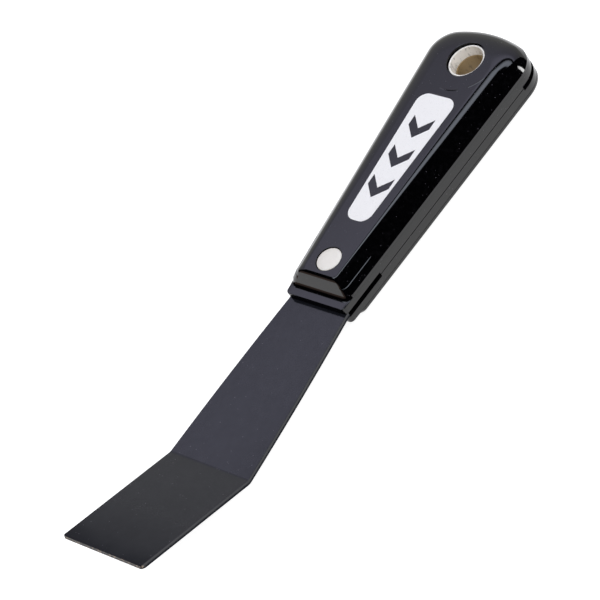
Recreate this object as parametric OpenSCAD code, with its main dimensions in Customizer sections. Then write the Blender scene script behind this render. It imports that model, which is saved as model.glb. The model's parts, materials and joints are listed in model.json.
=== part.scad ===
// Bent floor scraper: a one-piece steel blade with a full tang, riveted between two moulded scales.
// Shapes are drawn about the front rivet's axis on the blade's middle plane, +X towards the butt,
// and placed() then stands them on the lower scale with the origin under the middle of the length.

/* [Blade] */
// Width of the cutting edge
blade_w = 31.75; // [25:0.25:50]
// Thickness of the steel
blade_t = 1.6; // [1.2:0.1:2.4]
// Length of the bent foot, from the bend to the cutting edge
foot_l = 43.2; // [25:0.1:70]
// Angle of the foot above the shank, in degrees
foot_angle = 22; // [5:1:40]
// Width across the bend
bend_w = 31; // [25:0.1:50]
// Inside radius of the bend
bend_r = 2.5; // [1:0.1:6]
// Length of the shank, from the handle to the bend
shank_l = 56.8; // [40:0.1:90]
// Width of the shank where it leaves the handle
shank_w = 22.2; // [16:0.1:22.2]
// How far each side of the shank bows outwards
shank_bow = 0.35; // [0:0.05:1]
// Radius of the two corners of the cutting edge
tip_corner_r = 1; // [0.5:0.1:3]
// Length of the ground bevel under the cutting edge
edge_grind = 1.5; // [0.5:0.1:4]
// Thickness left at the cutting edge
edge_t = 1.2; // [0.3:0.05:1.2]

/* [Tang] */
// Width of the tang between its two ends
tang_w = 15; // [14:0.5:18]
// Width of the shoulder just inside the handle
shoulder_w = 21.2; // [19:0.1:21.6]
// Distance from the front rivet back to the end of the shoulder
shoulder_back = 3.4; // [2:0.1:5]
// How far the tang's wide end lies inside the handle's edge
tang_end_inset = 1.2; // [0.8:0.1:3]
// Clearance beside the tang in its pocket
tang_side_gap = 0.3; // [0.1:0.1:0.8]
// Extra length of each open slot past the tang
slot_end_gap = 0.6; // [0.2:0.1:1.5]

/* [Handle] */
// Length of the handle
handle_l = 98.2; // [90:0.1:130]
// Width of the handle at its front lip
lip_w = 22.8; // [22.4:0.1:30]
// Width of the handle across the hanging hole
handle_w = 36.6; // [32:0.1:46]
// Thickness of the handle over both scales
handle_t = 16; // [14:0.1:22]
// Height of the upright side wall of one scale
side_wall_h = 4; // [3:0.1:5]
// Distance from the side wall in to the ridge of the shoulder
ridge_in = 1.6; // [0.8:0.05:2]
// Height of that ridge above the middle plane
ridge_h = 5.75; // [5.2:0.05:6.2]
// Distance from the side wall in to the flat top face
shoulder_in = 6.1; // [4:0.1:7]
// How far the butt's end leans in at the top of the side wall
butt_wall_in = 0.2; // [0:0.1:0.6]
// Distance from the butt in to the ridge of the shoulder
butt_ridge_in = 1; // [0.6:0.1:2]
// Distance from the butt in to the flat top face
butt_shoulder_in = 7.6; // [5:0.1:7.8]
// Radius of the butt's end curve
butt_r = 38; // [30:1:80]
// Radius of the butt's two corners
butt_corner_r = 9.2; // [7:0.1:11]
// Height of the front lip of one scale
lip_h = 3.1; // [2.5:0.1:4]
// Length of the front lip's ledge
lip_l = 4.2; // [2.5:0.1:4.8]
// Distance from the lip's front back to the top face
lip_to_top = 6.4; // [5.4:0.1:7]
// Radius of the cove behind the ledge
cove_r = 1.2; // [0.5:0.1:1.6]
// Radius of the lip's two upright corners
lip_corner_r = 1.4; // [0.5:0.1:2]
// Distance from the lip's front back to the front of the shoulder's ridge
ridge_front_in = 4.8; // [4:0.1:5.4]
// Radius of the shoulder's two front corners
front_corner_r = 2.2; // [1:0.1:4]
// Radius of the top face's two front corners
top_corner_r = 0.8; // [0.3:0.1:2]
// Wall left over the cored pockets inside each scale
core_wall = 3; // [2:0.1:4]

/* [Front rivet] */
// Distance from the lip's front to the front rivet
rivet_back = 11.85; // [11.2:0.05:16]
// Radius of the rivet's heads
rivet_head_r = 4; // [3.5:0.05:5]
// Thickness of the rivet's heads
rivet_head_t = 1.5; // [1:0.1:2]
// How far the heads lie below the handle's faces
rivet_recess = 0.15; // [0.05:0.05:0.5]
// Clearance round the heads
rivet_head_gap = 0.35; // [0.1:0.05:0.6]
// Outer radius of the rivet's sleeve
rivet_sleeve_r = 2.6; // [2.2:0.1:3]
// Radius of the rivet's pin
rivet_pin_r = 1.6; // [1.2:0.1:1.8]

/* [Hanging eyelet] */
// Distance from the front rivet to the hanging hole
hang_spacing = 74; // [68:0.1:76]
// Inner radius of the hanging hole
hang_bore_r = 4.6; // [4:0.1:4.8]
// Outer radius of the eyelet's rims
hang_rim_r = 5.8; // [5.7:0.05:6.2]
// Wall of the eyelet's two tubes
hang_wall = 0.4; // [0.3:0.05:0.45]
// How far the rims lie below the handle's faces
hang_recess = 0.7; // [0.3:0.1:1]
// Thickness of the rims
hang_rim_t = 0.4; // [0.3:0.05:0.6]
// Depth from the upper rim to the inner tube's end
hang_funnel_h = 3.5; // [2:0.1:4]
// Clearance round the rims
hang_rim_gap = 0.25; // [0.1:0.05:0.4]

/* [Printed label] */
// Distance from the front rivet to the label
label_start = 14; // [12:0.5:20]
// Length of the label
label_l = 46; // [30:0.5:48]
// Width of the label's front end
label_front_w = 9; // [6:0.5:10]
// Width of the label's back end
label_back_w = 14; // [8:0.5:15]
// Thickness of the print
label_t = 0.05; // [0.03:0.01:0.1]
// Number of arrowheads left open in the label
chevrons = 3; // [1:1:5]
// Distance between arrowheads
chevron_pitch = 11; // [8:0.5:12]
// Width of each arrowhead's band
chevron_band = 3.6; // [2:0.1:5]

/* [Fits] */
// Clearance round a tube or a sleeve in its hole
hole_gap = 0.05; // [0.02:0.01:0.1]
// Clearance of a pin or a tube pressed into its sleeve
press_gap = 0.02; // [0.01:0.01:0.05]

/* [Hidden] */
half_t = handle_t / 2;
half_blade_t = blade_t / 2;
lip_x = -rivet_back;
butt_x = handle_l - rivet_back;
bend_x = lip_x - shank_l;
hang_x = hang_spacing;
// Half width of the handle at x, before its corners are rounded
side_slope = (handle_w - lip_w) / 2 / (hang_x - lip_x);
function half_w(x) = lip_w / 2 + (x - lip_x) * side_slope;
side_stretch = sqrt(1 + pow(side_slope, 2));
side_lean = atan(side_slope);
// The bend, on the blade's middle plane
bend_mid_r = bend_r + half_blade_t;
bend_run = bend_mid_r * tan(foot_angle / 2);
bend_reach = bend_run + blade_t;
// The lowest and highest x of the whole tool, and the shift that centres it
tip_x = bend_x - foot_l * cos(foot_angle) + (half_blade_t - edge_t) * sin(foot_angle);
centre_x = (tip_x + butt_x) / 2;
// The two slots that stay open at the scales' joint
front_slot_x = shoulder_back + slot_end_gap;
butt_slot_x = hang_x - slot_end_gap / 2;
tang_end_x = butt_slot_x + slot_end_gap;
// The tang's inner corners stay inside the slots
neck_r = slot_end_gap;
// The rivet's levels above the middle plane
rivet_top_z = half_t - rivet_recess;
rivet_seat_z = rivet_top_z - rivet_head_t;
rivet_sleeve_end_z = -rivet_seat_z + 2;
rivet_bore_end_z = rivet_seat_z - 2.6;
rivet_pin_end_gap = 0.5;
rivet_hole_r = rivet_sleeve_r + hole_gap;
// The eyelet's levels and radii
hang_rim_z = half_t - hang_recess;
hang_seat_z = hang_rim_z - hang_rim_t;
hang_tube_r = hang_bore_r + hang_wall;
hang_sleeve_in_r = hang_tube_r + press_gap;
hang_sleeve_r = hang_sleeve_in_r + hang_wall;
hang_hole_r = hang_sleeve_r + hole_gap;
hang_funnel_r = hang_rim_r - hang_rim_t;
hang_tube_end_z = hang_rim_z - hang_funnel_h;
hang_mouth_h = hang_rim_r - hang_bore_r;
hang_sleeve_end_z = -3;
// Cored pockets between the rivet's and the eyelet's bosses
boss_wall = 3;
core_start = rivet_head_r + rivet_head_gap + boss_wall;
core_end = hang_x - hang_rim_r - hang_rim_gap - boss_wall;
core_rib = 4;
core_count = 2;
core_l = (core_end - core_start - core_rib * (core_count - 1)) / core_count;
core_shelf = 2.5;
core_w = tang_w - 2 * core_shelf;
// Label
label_corner_r = 3.5;
label_mid_x = label_start + label_l / 2;

curve_steps = 12;
slice = 0.05;
big = 400;
$fn = 96;

function arc(centre, r, a0, a1) =
    [for (i = [0:curve_steps]) let (a = a0 + (a1 - a0) * i / curve_steps)
        [centre[0] + r * cos(a), centre[1] + r * sin(a)]];

function flipped(points) = [for (i = [len(points) - 1:-1:0]) [points[i][0], -points[i][1]]];

// Centre of a butt corner of radius r, with the outline drawn in by side_in and end_in
function butt_corner(side_in, end_in, r) =
    let (arc_x = butt_x - end_in - butt_r)
    let (b = half_w(0) - side_in - r * side_stretch)
    let (p = side_slope * b - arc_x)
    let (q = pow(arc_x, 2) + pow(b, 2) - pow(butt_r - r, 2))
    let (x = (sqrt(pow(p, 2) - pow(side_stretch, 2) * q) - p) / pow(side_stretch, 2))
    [x, side_slope * x + b];

// Upper half of the handle's outline, drawn in at its sides, its butt and its front
function half_outline(side_in, end_in, front_in, front_r) =
    let (r = max(butt_corner_r - side_in / 2, 2))
    let (c = butt_corner(side_in, end_in, r))
    let (arc_x = butt_x - end_in - butt_r)
    let (swing = atan2(c[1], c[0] - arc_x))
    let (front_c_x = lip_x + front_in + front_r)
    let (front_c = [front_c_x, half_w(front_c_x) - side_in - front_r * side_stretch])
    concat(
        arc([arc_x, 0], butt_r, 0, swing),
        arc(c, r, swing, 90 + side_lean),
        arc(front_c, front_r, 90 + side_lean, 180));

module outline(side_in, end_in, front_in, front_r) {
    upper = half_outline(side_in, end_in, front_in, front_r);
    polygon(concat(upper, flipped(upper)));
}

module placed() {
    translate([-centre_x, 0, half_t]) children();
}

// A profile drawn in x and z, extruded across the whole width
module across(width) {
    translate([0, width / 2, 0]) rotate([90, 0, 0]) linear_extrude(height = width) children();
}

// ---------- Blade ----------

// Half width of the shank at the fraction f of its length, from the handle to the bend
function shank_half(f) = shank_w / 2 + (bend_w - shank_w) / 2 * f + shank_bow * 4 * f * (1 - f);

module flat_outline() {
    shank = [for (i = [0:curve_steps]) let (f = 1 - i / curve_steps) [lip_x - f * shank_l, shank_half(f)]];
    upper = concat(
        shank,
        [[lip_x, shoulder_w / 2]],
        [[shoulder_back, shoulder_w / 2]],
        [[shoulder_back, tang_w / 2 + neck_r]],
        arc([shoulder_back + neck_r, tang_w / 2 + neck_r], neck_r, 180, 270),
        arc([tang_end_x - neck_r, tang_w / 2 + neck_r], neck_r, 270, 360),
        [[tang_end_x, half_w(tang_end_x) - tang_end_inset]],
        tang_end());
    polygon(concat(upper, flipped(upper)));
}

// The tang's wide end follows the butt's corner and end curve
function tang_end() =
    let (r = butt_corner_r - tang_end_inset)
    let (c = butt_corner(tang_end_inset, tang_end_inset, r))
    let (arc_x = butt_x - tang_end_inset - butt_r)
    let (swing = atan2(c[1], c[0] - arc_x))
    concat(arc(c, r, 90 + side_lean, swing), arc([arc_x, 0], butt_r, swing, 0));

// The foot's outline, drawn flat and reaching back past the bend
module foot_outline() {
    corner = foot_l - tip_corner_r;
    upper = concat(
        [[-bend_reach, bend_w / 2]],
        [[0, bend_w / 2]],
        [[corner, blade_w / 2]],
        arc([corner, blade_w / 2 - tip_corner_r], tip_corner_r, 90, 0));
    polygon(concat(upper, flipped(upper)));
}

// A point of the foot's side profile: s along the foot from the bend, n above its middle plane
function foot_point(s, n) =
    [bend_x - s * cos(foot_angle) + n * sin(foot_angle), s * sin(foot_angle) + n * cos(foot_angle)];

module side_profile() {
    bend_c = [bend_x + bend_run, bend_mid_r];
    polygon(concat(
        [[butt_x, half_blade_t]],
        arc(bend_c, bend_r, 270, 270 - foot_angle),
        [foot_point(foot_l, half_blade_t)],
        [foot_point(foot_l, half_blade_t - edge_t)],
        [foot_point(foot_l - edge_grind, -half_blade_t)],
        arc(bend_c, bend_r + blade_t, 270 - foot_angle, 270),
        [[butt_x, -half_blade_t]]));
}

module blade() {
    color([0.17, 0.17, 0.20]) placed() difference() {
        intersection() {
            across(2 * blade_w) side_profile();
            union() {
                translate([0, 0, -big / 2]) linear_extrude(height = big) flat_outline();
                translate([bend_x, 0, 0]) rotate([0, foot_angle, 0]) mirror([1, 0, 0])
                    translate([0, 0, -bend_reach]) linear_extrude(height = 2 * bend_reach) foot_outline();
            }
        }
        cylinder(h = big, r = rivet_hole_r, center = true);
        translate([hang_x, 0, 0]) cylinder(h = big, r = hang_hole_r, center = true);
    }
}

// ---------- Handle scales ----------

module layer(z, side_in, end_in, front_in, front_r) {
    translate([0, 0, z]) linear_extrude(height = slice) outline(side_in, end_in, front_in, front_r);
}

module scale_body() {
    hull() {
        layer(0, 0, 0, 0, lip_corner_r);
        layer(side_wall_h - slice, 0, butt_wall_in, 0, lip_corner_r);
        layer(ridge_h - slice, ridge_in, butt_ridge_in, ridge_front_in, front_corner_r);
        layer(half_t - slice, shoulder_in, butt_shoulder_in, lip_to_top, top_corner_r);
    }
}

// What is cut away over the front lip: a ledge, a cove and a slope up to the top face
module lip_cut() {
    cove_x = lip_x + lip_l - cove_r;
    slope = atan2(half_t - lip_h - cove_r, lip_to_top - lip_l);
    across(lip_w + 20)
        polygon(concat(
            [[lip_x - 1, half_t + 1]],
            [[lip_x - 1, lip_h]],
            arc([cove_x, lip_h + cove_r], cove_r, 270, 360 - (90 - slope)),
            [[lip_x + lip_to_top, half_t]],
            [[lip_x + lip_to_top, half_t + 1]]));
}

module tang_pocket() {
    middle_w = tang_w + 2 * tang_side_gap;
    translate([0, 0, -1]) linear_extrude(height = half_blade_t + 1) union() {
        translate([lip_x - 1, -handle_w]) square([front_slot_x - lip_x + 1, 2 * handle_w]);
        translate([lip_x, -middle_w / 2]) square([butt_slot_x - lip_x + 1, middle_w]);
        translate([butt_slot_x, -handle_w]) square([handle_l, 2 * handle_w]);
    }
}

module core_pockets() {
    for (i = [0:core_count - 1])
        translate([core_start + i * (core_l + core_rib), -core_w / 2, 0])
            cube([core_l, core_w, half_t - core_wall]);
}

module half_handle() {
    difference() {
        scale_body();
        lip_cut();
        tang_pocket();
        core_pockets();
        cylinder(h = big, r = rivet_hole_r, center = true);
        translate([0, 0, rivet_seat_z]) cylinder(h = half_t, r = rivet_head_r + rivet_head_gap);
        translate([hang_x, 0, 0]) cylinder(h = big, r = hang_hole_r, center = true);
        translate([hang_x, 0, hang_seat_z]) cylinder(h = half_t, r = hang_rim_r + hang_rim_gap);
    }
}

module top_scale() {
    color([0.05, 0.05, 0.06]) placed() half_handle();
}

module bottom_scale() {
    color([0.05, 0.05, 0.06]) placed() mirror([0, 0, 1]) half_handle();
}

// ---------- Front rivet ----------

module front_rivet_sleeve() {
    color([0.85, 0.83, 0.80]) placed() difference() {
        union() {
            translate([0, 0, rivet_seat_z]) cylinder(h = rivet_head_t, r = rivet_head_r);
            translate([0, 0, rivet_sleeve_end_z])
                cylinder(h = rivet_seat_z - rivet_sleeve_end_z + slice, r = rivet_sleeve_r);
        }
        translate([0, 0, rivet_sleeve_end_z - 1])
            cylinder(h = rivet_bore_end_z - rivet_sleeve_end_z + 1, r = rivet_pin_r + press_gap);
    }
}

module front_rivet_pin() {
    color([0.85, 0.83, 0.80]) placed() union() {
        translate([0, 0, -rivet_top_z]) cylinder(h = rivet_head_t, r = rivet_head_r);
        translate([0, 0, -rivet_top_z])
            cylinder(h = rivet_top_z + rivet_bore_end_z - rivet_pin_end_gap, r = rivet_pin_r);
    }
}

// ---------- Hanging eyelet ----------

module hang_eyelet_sleeve() {
    color([0.80, 0.77, 0.72]) placed() translate([hang_x, 0, 0]) rotate_extrude()
        polygon([
            [hang_sleeve_in_r, hang_sleeve_end_z],
            [hang_sleeve_r, hang_sleeve_end_z],
            [hang_sleeve_r, hang_seat_z],
            [hang_rim_r, hang_seat_z],
            [hang_rim_r, hang_rim_z],
            [hang_funnel_r, hang_rim_z],
            [hang_sleeve_in_r, hang_tube_end_z]]);
}

module hang_eyelet_tube() {
    color([0.72, 0.68, 0.62]) placed() translate([hang_x, 0, 0]) rotate_extrude()
        polygon([
            [hang_bore_r, hang_tube_end_z],
            [hang_bore_r, -hang_rim_z + hang_mouth_h],
            [hang_funnel_r, -hang_rim_z],
            [hang_rim_r, -hang_rim_z],
            [hang_rim_r, -hang_seat_z],
            [hang_tube_r, -hang_seat_z],
            [hang_tube_r, hang_tube_end_z]]);
}

// ---------- Printed label ----------

module label_panel() {
    hull() {
        for (side = [-1, 1]) {
            translate([label_start + label_corner_r, side * (label_front_w / 2 - label_corner_r)])
                circle(r = label_corner_r, $fn = 32);
            translate([label_start + label_l - label_corner_r, side * (label_back_w / 2 - label_corner_r)])
                circle(r = label_corner_r, $fn = 32);
        }
    }
}

module label_print() {
    reach = label_front_w / 4;
    color([0.93, 0.93, 0.95]) placed() translate([0, 0, half_t]) linear_extrude(height = label_t)
        difference() {
            label_panel();
            for (i = [0:chevrons - 1]) {
                x = label_mid_x + (i - (chevrons - 1) / 2) * chevron_pitch;
                translate([x, 0])
                    polygon([
                        [-chevron_band, 0],
                        [reach - chevron_band / 2, reach + chevron_band / 2],
                        [reach + chevron_band / 2, reach + chevron_band / 2],
                        [0, 0],
                        [reach + chevron_band / 2, -reach - chevron_band / 2],
                        [reach - chevron_band / 2, -reach - chevron_band / 2]]);
            }
        }
}

blade();
top_scale();
bottom_scale();
front_rivet_sleeve();
front_rivet_pin();
hang_eyelet_sleeve();
hang_eyelet_tube();
label_print();
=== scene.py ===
import json
from math import atan, atan2, cos, hypot, pi, radians, sin, sqrt, tan

import bmesh
import bpy
from bpy.props import FloatProperty, FloatVectorProperty, PointerProperty
from bpy.types import Operator, Panel, PropertyGroup
from mathutils import Matrix, Vector


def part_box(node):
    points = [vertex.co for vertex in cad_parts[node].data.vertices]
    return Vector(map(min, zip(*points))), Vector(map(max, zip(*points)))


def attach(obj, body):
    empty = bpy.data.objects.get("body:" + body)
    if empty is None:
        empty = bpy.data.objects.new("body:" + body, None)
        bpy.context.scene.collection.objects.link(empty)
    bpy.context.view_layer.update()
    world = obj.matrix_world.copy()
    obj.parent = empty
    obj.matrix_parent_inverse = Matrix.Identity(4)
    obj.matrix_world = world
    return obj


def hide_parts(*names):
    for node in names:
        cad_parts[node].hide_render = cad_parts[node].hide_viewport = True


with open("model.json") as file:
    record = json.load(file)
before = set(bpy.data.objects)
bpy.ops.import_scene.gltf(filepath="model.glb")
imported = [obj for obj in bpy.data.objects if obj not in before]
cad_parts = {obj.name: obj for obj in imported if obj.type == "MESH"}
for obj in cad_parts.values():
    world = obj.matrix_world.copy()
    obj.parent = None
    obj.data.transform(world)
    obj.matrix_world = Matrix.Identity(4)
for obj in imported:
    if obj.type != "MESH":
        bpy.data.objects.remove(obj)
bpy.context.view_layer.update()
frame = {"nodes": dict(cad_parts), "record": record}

bl_info = {
    "name": "Bent Floor Scraper",
    "version": (1, 0, 0),
    "blender": (4, 5, 0),
    "location": "View3D > Sidebar > Scraper",
    "description": "Models a riveted floor scraper with a bent blade, and its studio",
    "category": "Add Mesh",
}

MM = 0.001
WELD = 1e-7
TOUCH = 1e-6
ROUND_STEPS = 96

# Where the frame's pieces lie, in metres
SCALE_LOW, SCALE_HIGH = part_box("top_scale")
BLADE_LOW, BLADE_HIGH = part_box("blade")
RIVET_LOW, RIVET_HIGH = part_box("front_rivet_sleeve")
PIN_LOW, PIN_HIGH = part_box("front_rivet_pin")
SLEEVE_LOW, SLEEVE_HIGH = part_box("hang_eyelet_sleeve")
TUBE_LOW, TUBE_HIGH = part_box("hang_eyelet_tube")
MID_Z = SCALE_LOW.z
RIVET_X = (RIVET_LOW.x + RIVET_HIGH.x) / 2
HANG_X = (TUBE_LOW.x + TUBE_HIGH.x) / 2
BORE_R = next(m["dims"]["r_mm"] for m in frame["record"]["mounts"] if m["kind"] == "bore") * MM


def size(name, description, default, high=1.0):
    return FloatProperty(
        name=name, description=description, default=default, min=0.0, max=high,
        unit="LENGTH", subtype="DISTANCE", precision=5,
    )


def colour(name, description, default):
    return FloatVectorProperty(
        name=name, description=description, default=default, size=3, min=0.0, max=1.0,
        subtype="COLOR",
    )


def share(name, description, default):
    return FloatProperty(
        name=name, description=description, default=default, min=0.0, max=1.0, subtype="FACTOR",
    )


def radiance(name, description, default):
    return FloatProperty(name=name, description=description, default=default, min=0.0)


# ---------- Settings ----------


class ScraperBlade(PropertyGroup):
    """Sizes of the steel blade"""

    thickness: size("Thickness", "Thickness of the steel", 1.6 * MM)
    edge_width: size("Edge width", "Width of the cutting edge", BLADE_HIGH.y * 2 - 3.1 * MM)
    bend_width: size("Bend width", "Width across the bend", 31.3 * MM)
    neck_width: size("Neck width", "Width where the shank leaves the handle", 22.5 * MM)
    neck_reach: size("Neck reach", "How far the neck's full width runs inside the handle", 1.0 * MM)
    shoulder_width: size("Shoulder width", "Width just inside the handle", 19.6 * MM)
    shoulder_back: size("Shoulder back", "From the rivet back to the shoulder's end", 3.4 * MM)
    tang_width: size("Tang width", "Width of the tang between the rivet and the eyelet", 15.0 * MM)
    tang_inset: size("Tang inset", "How far the tang's wide end lies inside the handle", 1.2 * MM)
    tang_end: size("Tang end", "From the hanging hole's middle back to the wide end", 0.3 * MM)
    bow: size("Bow", "How far each side of the shank bows outwards", 0.35 * MM)
    foot_length: size("Foot length", "From the bend to the cutting edge", 43.2 * MM)
    shank_length: size("Shank length", "From the handle to the bend", 56.8 * MM)
    foot_angle: FloatProperty(
        name="Foot angle", description="Angle of the foot above the shank",
        default=radians(22), min=0.0, max=radians(60), subtype="ANGLE", unit="ROTATION",
    )
    bend_radius: size("Bend radius", "Inside radius of the bend", 2.5 * MM)
    corner_radius: size("Corner radius", "Radius of the cutting edge's corners", 0.7 * MM)
    edge_thickness: size("Edge thickness", "Steel left at the cutting edge", 1.2 * MM)
    grind: size("Grind", "Length of the bevel ground under the edge", 1.5 * MM)
    edge_softness: size("Edge softness", "Width of the soft line along each edge", 0.16 * MM)


class ScraperHandle(PropertyGroup):
    """Sizes of the two moulded scales"""

    lip_width: size("Lip width", "Width at the front lip", 22.8 * MM)
    hang_width: size("Hang width", "Width across the hanging hole", 36.6 * MM)
    wall_height: size("Wall height", "Height of one scale's upright side wall", 4.0 * MM)
    ridge_in: size("Ridge in", "From the side wall in to the shoulder's ridge", 1.6 * MM)
    ridge_rise: size("Ridge rise", "Height of that ridge above the side wall", 1.75 * MM)
    ridge_land: size("Ridge land", "Width of the ridge's nearly level line at the front", 0.26 * MM)
    front_flat_in: size("Front flat", "From the side in to the level face at the front", 5.8 * MM)
    back_flat_in: size("Back flat", "From the side in to the level face at the back", 8.1 * MM)
    front_edge_r: size("Front edge", "Radius of the level face's edge at the front", 3.4 * MM)
    back_edge_r: size("Back edge", "Radius of the level face's edge at the back", 17.5 * MM)
    butt_radius: size("Butt radius", "Radius of the butt's end curve", 38.0 * MM)
    butt_corner: size("Butt corner", "Radius of the butt's two corners", 9.2 * MM)
    butt_shoulder: size("Butt shoulder", "From the butt in to the level face", 9.0 * MM)
    lip_height: size("Lip height", "Height of one scale's front lip", 3.1 * MM)
    lip_corner: size("Lip corner", "Radius of the lip's upright corners", 1.4 * MM)
    front_to_top: size("Front to top", "From the lip's front back to the level face", 6.8 * MM)
    front_slope: FloatProperty(
        name="Front slope", description="Angle of the slope behind the ledge",
        default=radians(61), min=radians(30), max=radians(85), subtype="ANGLE", unit="ROTATION",
    )
    cove_radius: size("Cove radius", "Radius of the cove behind the ledge", 1.8 * MM)
    brow_radius: size("Brow radius", "Radius of the edge from the slope to the level face", 1.4 * MM)
    front_corner: size("Front corner", "Radius of the slope's upright corners", 2.6 * MM)
    brow_corner: size("Brow corner", "Radius of those corners at the level face", 1.4 * MM)
    slot_half: size("Slot", "Half height of the two open slots", 0.86 * MM)
    front_slot: size("Front slot", "From the rivet back to the front slot's end", 4.0 * MM)
    butt_slot: size("Butt slot", "From the hanging hole forward to the butt slot's end", 0.3 * MM)
    tang_width: size("Tang width", "Width of the pocket for the tang", 15.6 * MM)
    edge_softness: size("Edge softness", "Width of the rounding on the sharp edges", 0.2 * MM)


class ScraperFittings(PropertyGroup):
    """Sizes of the rivet and the eyelet"""

    head_thickness: size("Head", "Thickness of the rivet's heads", 1.5 * MM)
    head_round: size("Head round", "Rounding of the rivet heads' rims", 0.22 * MM)
    head_gap: size("Head gap", "Clearance round the rivet's heads", 0.18 * MM)
    sleeve_radius: size("Sleeve", "Outer radius of the rivet's sleeve", 2.6 * MM)
    pin_radius: size("Pin", "Radius of the rivet's pin", 1.6 * MM)
    pin_gap: size("Pin gap", "Clearance of the pin in its sleeve", 0.02 * MM)
    pin_bore: size("Pin bore", "From the upper seat down to the sleeve's blind end", 2.6 * MM)
    rim_thickness: size("Rim", "Thickness of the eyelet's rims", 0.4 * MM)
    rim_gap: size("Rim gap", "Clearance round the eyelet's rims", 0.42 * MM)
    tube_wall: size("Tube wall", "Wall of the eyelet's tubes", 0.4 * MM)
    hole_gap: size("Hole gap", "Clearance round the tubes in their holes", 0.05 * MM)


class ScraperFinish(PropertyGroup):
    """Colours of the finishes"""

    steel: colour("Steel coating", "Dark coating of the blade", (0.0085, 0.0092, 0.0128))
    bare: colour("Bare steel", "Worn specks along the cutting edge", (0.22, 0.17, 0.13))
    plastic: colour("Plastic", "Black of the moulded scales", (0.0005, 0.0005, 0.0007))
    dust: colour("Dust", "Colour of the dust specks", (0.075, 0.070, 0.085))
    rivet: colour("Rivet", "Metal of the rivet", (0.86, 0.825, 0.745))
    eyelet: colour("Eyelet", "Plating of the eyelet's sleeve", (0.93, 0.90, 0.85))
    # Tan of the eyelet's inner tube, darkened with painted shade for the inside of the hanging hole
    tan_and_shade: colour("Eyelet stain", "Tan of the eyelet's inner tube", (0.30, 0.215, 0.11))
    ink: colour("Ink", "White of the print", (0.87, 0.865, 0.875))
    steel_gloss: share("Steel roughness", "Roughness of the coating's gloss", 0.11)
    plastic_gloss: share("Plastic roughness", "Least roughness of the scales", 0.045)


class ScraperStage(PropertyGroup):
    """Camera, floor and lights"""

    azimuth: FloatProperty(
        name="Azimuth", description="Camera's turn about Z; 0 looks along +Y",
        default=radians(-24.896), subtype="ANGLE", unit="ROTATION",
    )
    elevation: FloatProperty(
        name="Elevation", description="Camera's height angle above the floor",
        default=radians(43.0), subtype="ANGLE", unit="ROTATION",
    )
    roll: FloatProperty(
        name="Roll", description="Camera's turn about its own line of sight",
        default=radians(38.04), subtype="ANGLE", unit="ROTATION",
    )
    distance: size("Distance", "From the camera to the point it looks at", 1.0428, high=10.0)
    lens: FloatProperty(
        name="Lens", description="Focal length in millimetres on a 36 mm sensor",
        default=219.64, min=10.0, max=600.0, subtype="DISTANCE_CAMERA",
    )
    floor_tone: share("Floor tone", "Reflectance of the floor", 0.5)
    floor_glow: share("Floor glow", "Light that the lit table gives off by itself", 0.86)
    floor_size: size("Floor size", "Radius of the floor", 6.0, high=50.0)
    wall_turn: FloatProperty(
        name="Wall turn", description="Direction of the white wall, from +X towards +Y",
        default=radians(41), subtype="ANGLE", unit="ROTATION",
    )
    wall_glow: radiance("Wall", "Radiance of the top of the white wall behind the tool", 1.8)
    strip_glow: radiance("Strip", "Radiance of the strip light over the wall", 3.2)
    window_glow: radiance("Window", "Radiance of the small light beside the butt", 16.0)
    fill_power: FloatProperty(
        name="Fill", description="Power of the overhead fill", default=60.0, min=0.0,
        unit="POWER",
    )
    room_tone: share("Room tone", "Brightness of the room in reflections", 0.002)


# ---------- Shader graph ----------


class Wire:
    """An output of a shader node. Arithmetic on wires adds Math nodes."""

    def __init__(self, graph, socket):
        self.graph = graph
        self.socket = socket

    def math(self, operation, first, second):
        return self.graph.node("ShaderNodeMath", {"operation": operation}, {0: first, 1: second})

    def __add__(self, other):
        return self.math("ADD", self, other)

    def __radd__(self, other):
        return self.math("ADD", other, self)

    def __sub__(self, other):
        return self.math("SUBTRACT", self, other)

    def __rsub__(self, other):
        return self.math("SUBTRACT", other, self)

    def __mul__(self, other):
        return self.math("MULTIPLY", self, other)

    def __rmul__(self, other):
        return self.math("MULTIPLY", other, self)

    def __truediv__(self, other):
        return self.math("DIVIDE", self, other)

    def __gt__(self, other):
        return self.math("GREATER_THAN", self, other)

    def __lt__(self, other):
        return self.math("LESS_THAN", self, other)


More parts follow.
